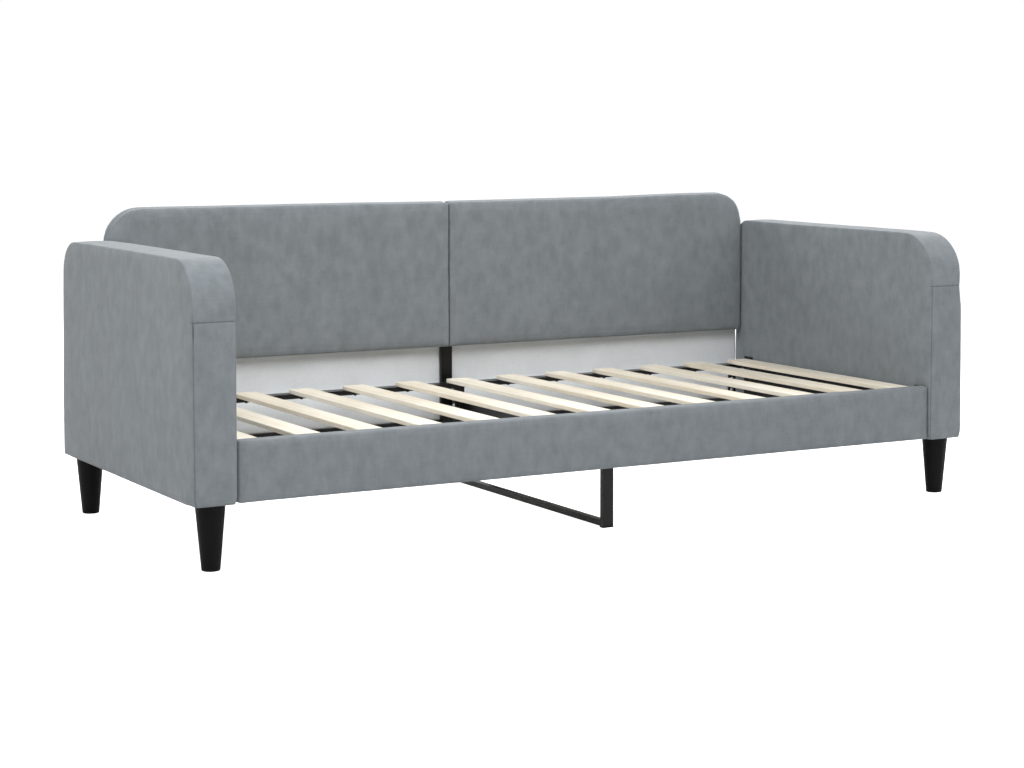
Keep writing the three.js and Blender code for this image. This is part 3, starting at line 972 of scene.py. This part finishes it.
def button_head(bm, centre, out, radius, height):
    """A domed bolt head with a round socket, standing out along a direction."""
    turn = out.to_track_quat("Z", "Y").to_matrix().to_4x4()
    turn.translation = centre
    made = bmesh.ops.create_cone(bm, cap_ends=True, segments=20, radius1=radius,
                                 radius2=radius * 0.62, depth=height,
                                 matrix=turn @ Matrix.Translation((0, 0, height / 2)))
    top = max((face for vert in made["verts"] for face in vert.link_faces),
              key=lambda face: (turn.inverted() @ face.calc_center_median()).z)
    bmesh.ops.inset_region(bm, faces=[top], thickness=radius * 0.24, use_even_offset=True)
    sunk = bmesh.ops.extrude_face_region(bm, geom=[top])
    verts = [item for item in sunk["geom"] if isinstance(item, bmesh.types.BMVert)]
    bmesh.ops.translate(bm, verts=verts, vec=-out * height * 0.6)
    if top.is_valid:
        bmesh.ops.delete(bm, geom=[top], context="FACES_ONLY")


BRACKET_BOLT_HEIGHTS = (161.5 * MM, 203 * MM)
PLATE_BOLT_SHARES = (0.3, 0.75)
BOLT_HEAD_RADIUS = 6 * MM
BOLT_HEAD_HEIGHT = 3.2 * MM


def bolt_places():
    """Where the bolts sit, and which way each head faces."""
    for side_name, side in SIDES.items():
        for end in ENDS:
            low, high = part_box(f"rail_bracket_{end}_{side_name}")
            face_x = low.x if side > 0 else high.x
            for z in BRACKET_BOLT_HEIGHTS:
                yield Vector((face_x, (low.y + high.y) / 2, z)), X_AXIS * -side
        low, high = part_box(f"rear_corner_plate_{side_name}")
        for share in PLATE_BOLT_SHARES:
            z = low.z + (high.z - low.z) * share
            yield Vector(((low.x + high.x) / 2, low.y, z)), -Y_AXIS
    beam_low, beam_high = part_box("centre_cross_beam")
    for end in ENDS:
        low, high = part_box(f"centre_leg_{end}")
        y, z = (low.y + high.y) / 2, (beam_low.z + beam_high.z) / 2
        yield Vector((low.x, y, z)), -X_AXIS
        yield Vector((beam_high.x, y, z)), X_AXIS


def fit_bolts():
    bm = bmesh.new()
    for place, out in bolt_places():
        button_head(bm, place, out, BOLT_HEAD_RADIUS, BOLT_HEAD_HEIGHT)
    bmesh.ops.recalc_face_normals(bm, faces=bm.faces[:])
    piece = finished("bolt_heads", bm, smooth=False)
    finish_with(piece, "zinc_steel", ZINC)


def pin_slats():
    """Plastic pins that hold the slats, showing under the seat rails."""
    from_edge = 9 * MM
    middle_slat = 20 * MM  # the slat over the centre support has its pins moved aside
    depth = 3 * MM
    bm = bmesh.new()
    for name in sorted(NODES):
        if not name.startswith("slat_"):
            continue
        low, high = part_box(name)
        x = (low.x + high.x) / 2
        for end in ENDS:
            rail_low, rail_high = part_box(f"seat_rail_{end}")
            y = rail_low.y + from_edge if end == "rear" else rail_high.y - from_edge
            if abs(x) < middle_slat:
                y = rail_high.y - 6 * MM if end == "rear" else rail_low.y + 24 * MM
            bmesh.ops.create_cone(bm, cap_ends=True, segments=12, radius1=3.2 * MM,
                                  radius2=5.2 * MM, depth=depth,
                                  matrix=Matrix.Translation((x, y, rail_low.z - 1.6 * MM)))
    piece = finished("slat_pins", bm, smooth=False)
    finish_with(piece, "black_plastic", BLACK_PLASTIC)


# ---- Floor, light and camera ------------------------------------------------------------------


def lay_floor():
    bm = bmesh.new()
    bmesh.ops.create_grid(bm, x_segments=1, y_segments=1, size=30)
    mesh = bpy.data.meshes.new("floor")
    bm.to_mesh(mesh)
    bm.free()
    floor = bpy.data.objects.new("floor", mesh)
    bpy.context.scene.collection.objects.link(floor)
    material, tree, shader, place = new_finish("Pale floor", 0.9)
    shader.inputs["Base Color"].default_value = grey(0.8)
    shader.inputs["Specular IOR Level"].default_value = 0.0
    shader.inputs["Emission Color"].default_value = WHITE
    distance = tree.nodes.new("ShaderNodeVectorMath")
    distance.operation = "LENGTH"
    tree.links.new(place, distance.inputs[0])
    glow = add_node(tree, "ShaderNodeMapRange", From_Min=1.6, From_Max=4.5, To_Min=0.92,
                    To_Max=1.0)
    tree.links.new(distance.outputs["Value"], glow.inputs["Value"])
    rays = tree.nodes.new("ShaderNodeLightPath")
    seen = math_node(tree, "MULTIPLY", glow.outputs[0], rays.outputs["Is Camera Ray"])
    tree.links.new(seen, shader.inputs["Emission Strength"])
    mesh.materials.append(material)


def soft_light(name, place, aim, width, height, power):
    data = bpy.data.lights.new(name, "AREA")
    data.shape = "RECTANGLE"
    data.size = width
    data.size_y = height
    data.energy = power
    lamp = bpy.data.objects.new(name, data)
    bpy.context.scene.collection.objects.link(lamp)
    lamp.location = place
    lamp.rotation_euler = (Vector(aim) - Vector(place)).to_track_quat("-Z", "Y").to_euler()


def light_studio():
    world = bpy.data.worlds.new("studio")
    bpy.context.scene.world = world
    world.use_nodes = True
    tree = world.node_tree
    shown = tree.nodes["Background"]
    shown.inputs["Color"].default_value = WHITE
    shown.inputs["Strength"].default_value = 1.0
    around = tree.nodes.new("ShaderNodeBackground")
    around.inputs["Color"].default_value = (0.97, 0.985, 1, 1)
    around.inputs["Strength"].default_value = 0.08
    rays = tree.nodes.new("ShaderNodeLightPath")
    mixed = tree.nodes.new("ShaderNodeMixShader")
    tree.links.new(rays.outputs["Is Camera Ray"], mixed.inputs[0])
    tree.links.new(around.outputs[0], mixed.inputs[1])
    tree.links.new(shown.outputs[0], mixed.inputs[2])
    tree.links.new(mixed.outputs[0], tree.nodes["World Output"].inputs["Surface"])
    soft_light("rear softbox", (0.6, 4.0, 3.0), (0, 0, 0.4), 5.0, 2.5, 225)
    soft_light("ceiling softbox", (0.2, -3.2, 3.6), (0, -1, 0), 5.0, 2.0, 112)
    soft_light("right softbox", (4.0, 0, 3.0), (0, 0, 0.4), 3.0, 3.0, 190)
    soft_light("upper left softbox", (-3.6, -0.6, 3.2), (-0.5, 0, 0.4), 2.5, 2.5, 74)
    soft_light("overhead softbox", (-1.6, -1.2, 3.2), (-1.1, -0.5, 0.5), 2.0, 1.2, 45)


def stand_camera():
    data = bpy.data.cameras.new("camera")
    data.lens = 79.16
    data.sensor_width = 36
    data.shift_x = -0.0732
    data.shift_y = -0.0917
    data.clip_end = 200
    camera = bpy.data.objects.new("camera", data)
    bpy.context.scene.collection.objects.link(camera)
    turn = math.radians(-30.703)
    tip = math.radians(4.635)
    ahead = Vector((-math.sin(turn), math.cos(turn), 0)) * math.cos(tip) - Z_AXIS * math.sin(tip)
    level = Vector((math.cos(turn), math.sin(turn), 0))
    lean = math.radians(0.092)
    right = level * math.cos(lean) + level.cross(ahead) * math.sin(lean)
    stance = Matrix((right, right.cross(ahead), -ahead)).transposed().to_4x4()
    stance.translation = Vector((-2.9155, -5.2377, 1.057))
    camera.matrix_world = stance
    bpy.context.scene.camera = camera


# ---- The daybed -------------------------------------------------------------------------------

bpy.context.scene.view_settings.view_transform = "Standard"
stand_camera()
lay_floor()
light_studio()
finish_cad_nodes()
plane_rear_post()
for side_name in SIDES:
    cover_arm(side_name)
    cover_back(side_name)
    hang_rear_cloth(side_name)
    line_arm(side_name)
    close_arm_underside(side_name)
cover_front_rail()
fit_bolts()
pin_slats()
